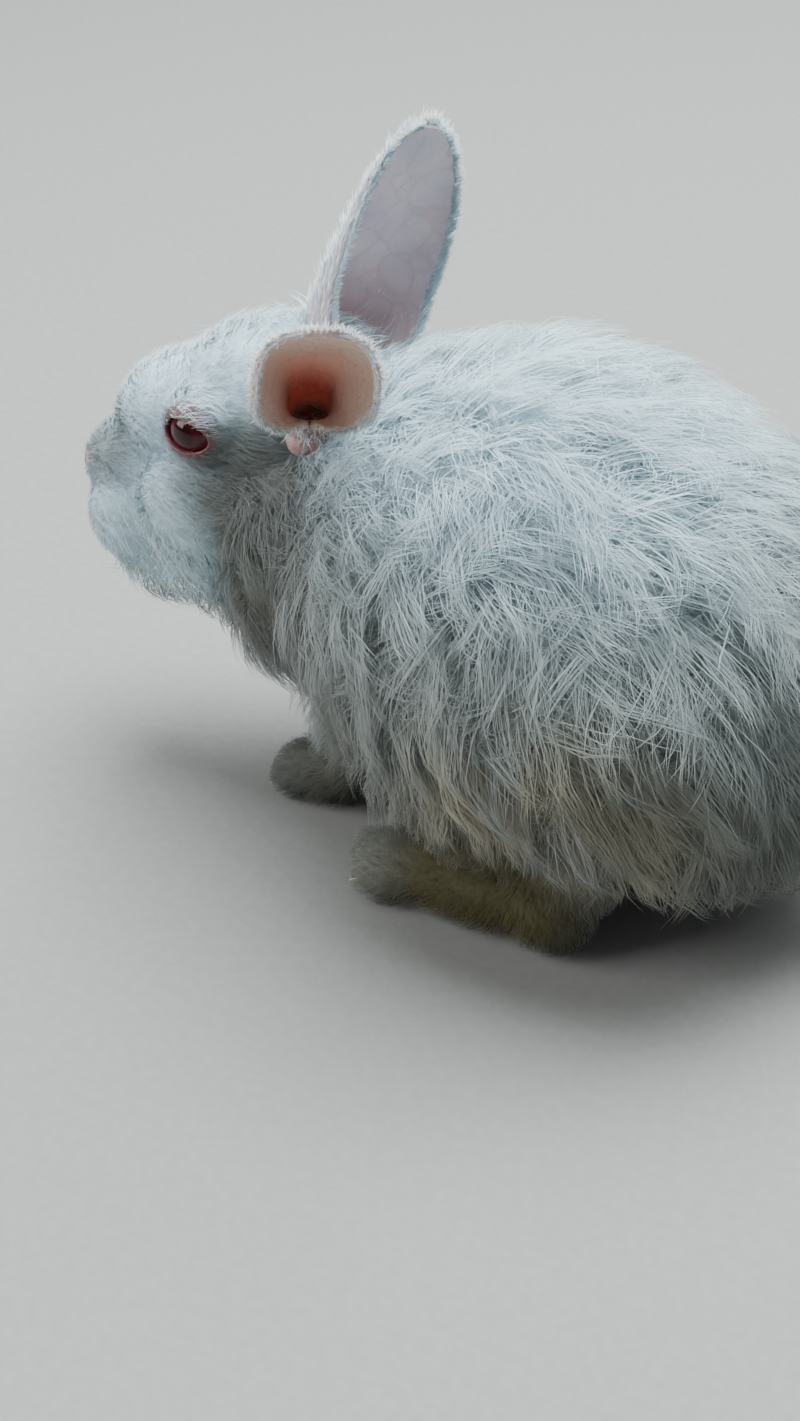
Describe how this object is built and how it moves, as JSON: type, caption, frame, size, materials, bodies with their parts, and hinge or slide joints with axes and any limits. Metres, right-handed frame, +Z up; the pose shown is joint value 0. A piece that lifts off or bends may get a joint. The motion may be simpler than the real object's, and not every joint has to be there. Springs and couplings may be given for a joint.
{
  "type": "angora rabbit",
  "caption": "Still, life-size young angora rabbit crouching on the floor, one ear up and one held out to the side, in a long fluffy white coat.",
  "frame": {"origin": "on the floor under the middle of the rabbit's outline seen from above", "axes": "+Z up; the rabbit faces -X, with its left side towards -Y"},
  "size_m": [0.2557, 0.1533, 0.1916],
  "materials": {
    "wool": "long, soft white wool",
    "face_fur": "short, soft white fur",
    "foot_fur": "short fur, stained grey and yellow-brown",
    "ear_skin": "thin pink skin with fine hair",
    "eye": "wet, dark ruby red"
  },
  "bodies": {
    "root": {"head": "face_fur", "neck": "wool", "torso": "wool", "tail": "wool", "ear_left": "ear_skin", "ear_right": "ear_skin", "eye_left": "eye", "eye_right": "eye", "fore_leg_left": "foot_fur", "fore_leg_right": "foot_fur", "hind_leg_left": "foot_fur", "hind_leg_right": "foot_fur"}
  },
  "joints": []
}
